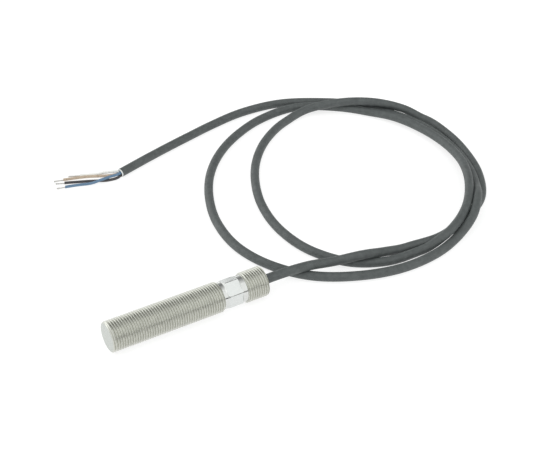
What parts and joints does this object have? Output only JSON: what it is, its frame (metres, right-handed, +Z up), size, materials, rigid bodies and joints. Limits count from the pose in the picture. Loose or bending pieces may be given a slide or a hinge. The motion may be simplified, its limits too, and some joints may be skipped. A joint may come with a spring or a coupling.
{
  "type": "inductive proximity sensor",
  "caption": "Threaded full-metal barrel proximity sensor with a closed sensing face, wrench flats and a long coiled multi-core lead with stripped wire ends.",
  "frame": {"origin": "on the floor under the middle of the barrel: bottom centre of the barrel's box, the lead left out", "axes": "+Z up; the barrel's axis lies along X with the sensing face towards -X and the lead leaving at +X; +Y is to the side the lead is coiled on"},
  "size_m": [0.1958, 0.138, 0.012],
  "materials": {
    "stainless_steel": "machined stainless steel, fine turning marks",
    "polyimide_film": "translucent amber film",
    "ferrite": "sintered, matte",
    "former_plastic": "moulded",
    "copper_wire": "enamelled copper",
    "carrier_plastic": "moulded",
    "board_laminate": "solder mask",
    "chip_plastic": "moulded package",
    "capacitor_ceramic": "ceramic",
    "resistor_film": "glazed",
    "solder": "bright solder",
    "led_plastic": "clear amber",
    "foil": "copper-clad film",
    "potting_resin": "cast resin",
    "plug_plastic": "moulded, satin",
    "seal_rubber": "moulded rubber",
    "ferrule_steel": "drawn",
    "grommet_rubber": "moulded, satin",
    "jacket": "satin cable jacket",
    "filler": "wrap film",
    "insulation_brown": "extruded, satin",
    "insulation_white": "extruded, satin",
    "insulation_blue": "extruded, satin",
    "insulation_black": "extruded, satin",
    "tinned_copper": "tinned strands"
  },
  "bodies": {
    "root": {"housing": "stainless_steel", "insulating_disc": "polyimide_film", "ferrite_core": "ferrite", "coil_former": "former_plastic", "coil_winding": "copper_wire", "coil_leads": "copper_wire", "coil_carrier": "carrier_plastic", "circuit_board": "board_laminate", "sensor_chip": "chip_plastic", "output_driver": "chip_plastic", "capacitors": "capacitor_ceramic", "resistors": "resistor_film", "solder_joints": "solder", "indicator_led": "led_plastic", "shield_foil": "foil", "potting": "potting_resin", "rear_plug": "plug_plastic", "plug_seal": "seal_rubber", "crimp_ferrule": "ferrule_steel", "cable_grommet": "grommet_rubber", "lead_brown": "insulation_brown", "lead_white": "insulation_white", "lead_blue": "insulation_blue", "lead_black": "insulation_black", "cable_jacket": "jacket", "cable_filler": "filler", "core_brown": "insulation_brown", "core_white": "insulation_white", "core_blue": "insulation_blue", "core_black": "insulation_black", "conductor_brown": "tinned_copper", "conductor_white": "tinned_copper", "conductor_blue": "tinned_copper", "conductor_black": "tinned_copper"}
  },
  "joints": []
}
